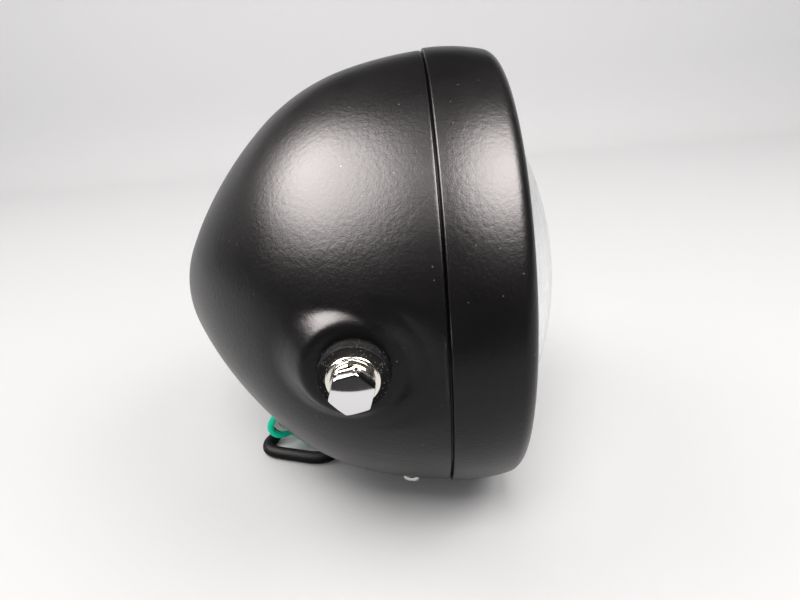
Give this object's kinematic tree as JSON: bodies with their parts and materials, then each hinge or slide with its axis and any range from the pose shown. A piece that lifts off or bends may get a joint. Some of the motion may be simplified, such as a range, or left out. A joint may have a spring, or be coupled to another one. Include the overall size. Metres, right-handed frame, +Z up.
{
  "type": "led headlight",
  "caption": "Round side-mounted motorbike LED headlight: bullet steel bucket, rolled rim, domed clear lens, side bolts on rubber bushes and a short plugged lead.",
  "frame": {"origin": "where the side bolts' axis crosses the lamp's own axis", "axes": "+X out of the lens, +Y along the side bolts' axis, +Z up"},
  "size_m": [0.1569, 0.2022, 0.1832],
  "materials": {
    "black_paint": "satin powder paint with a fine orange peel",
    "chrome": "bright plated",
    "zinc_steel": "zinc plated",
    "spring_steel": "oiled",
    "black_rubber": "matt moulded",
    "clear_lens": "clear polished",
    "light_guide": "clear moulded",
    "housing_plastic": "fine moulded grain",
    "mirror_coat": "vacuum metallised",
    "circuit_board": "white solder mask",
    "driver_board": "green solder mask",
    "diode": "phosphor",
    "aluminium": "die cast",
    "moulded_black": "fine moulded grain",
    "cable_sheath": "smooth sheath",
    "green_sheath": "smooth sheath",
    "white_sheath": "smooth sheath",
    "sleeve": "clear moulded",
    "brass": "plain"
  },
  "bodies": {
    "root": {"bucket": "black_paint", "rim": "black_paint", "rim_screws": "zinc_steel", "rim_clip_nuts": "zinc_steel", "side_bolts": "chrome", "split_washers": "chrome", "flat_washers": "chrome", "rubber_bushes": "black_rubber", "weld_nuts": "zinc_steel", "lens": "clear_lens", "lens_gasket": "black_rubber", "lens_seal": "black_rubber", "unit_housing": "housing_plastic", "retaining_clips": "spring_steel", "reflector": "mirror_coat", "position_board": "circuit_board", "position_leds": "diode", "light_guide": "light_guide", "trim_bezel": "housing_plastic", "bridge": "aluminium", "bridge_cover": "housing_plastic", "low_beam_board": "circuit_board", "high_beam_board": "circuit_board", "low_beam_leds": "diode", "high_beam_leds": "diode", "board_screws": "zinc_steel", "heat_sink": "aluminium", "heat_sink_screws": "zinc_steel", "driver_board": "driver_board", "driver_screws": "zinc_steel", "rear_cap": "aluminium", "cap_seal": "black_rubber", "cap_screws": "zinc_steel", "vent_plug": "black_rubber", "cable_gland": "moulded_black", "inner_lead": "cable_sheath", "cable_grommet": "black_rubber", "cable": "cable_sheath", "green_wire": "green_sheath", "white_wire": "white_sheath", "bullet_sleeves": "sleeve", "bullet_terminals": "brass", "plug_body": "moulded_black", "plug_blades": "brass"}
  },
  "joints": []
}
